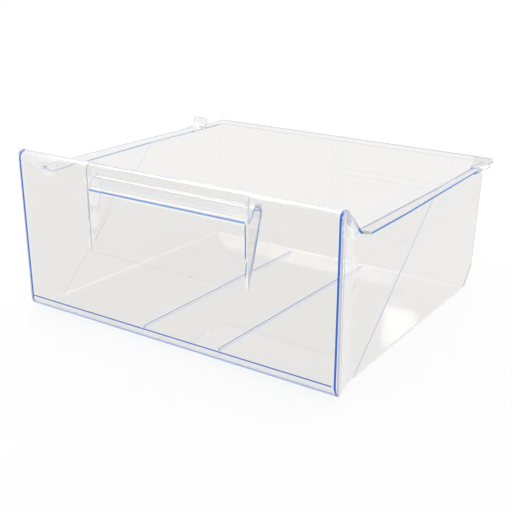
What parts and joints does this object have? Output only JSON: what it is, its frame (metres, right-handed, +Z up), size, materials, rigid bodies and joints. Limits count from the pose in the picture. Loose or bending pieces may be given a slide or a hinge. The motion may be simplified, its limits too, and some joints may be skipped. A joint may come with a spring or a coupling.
{
  "type": "freezer drawer",
  "caption": "Clear moulded drawer for the freezer of a fridge-freezer, with a grip over a leaning scoop, rising side flanges, rear stops and a sloped rear foot.",
  "frame": {"origin": "middle of the drawer on the plane it rests on, halfway between the front face and the rear flange", "axes": "+X to the right as seen from the front, +Y from the front panel to the rear wall, +Z up"},
  "size_m": [0.414, 0.354, 0.18],
  "materials": {
    "clear_plastic": "clear, polished"
  },
  "bodies": {
    "root": {"drawer": "clear_plastic"}
  },
  "joints": []
}
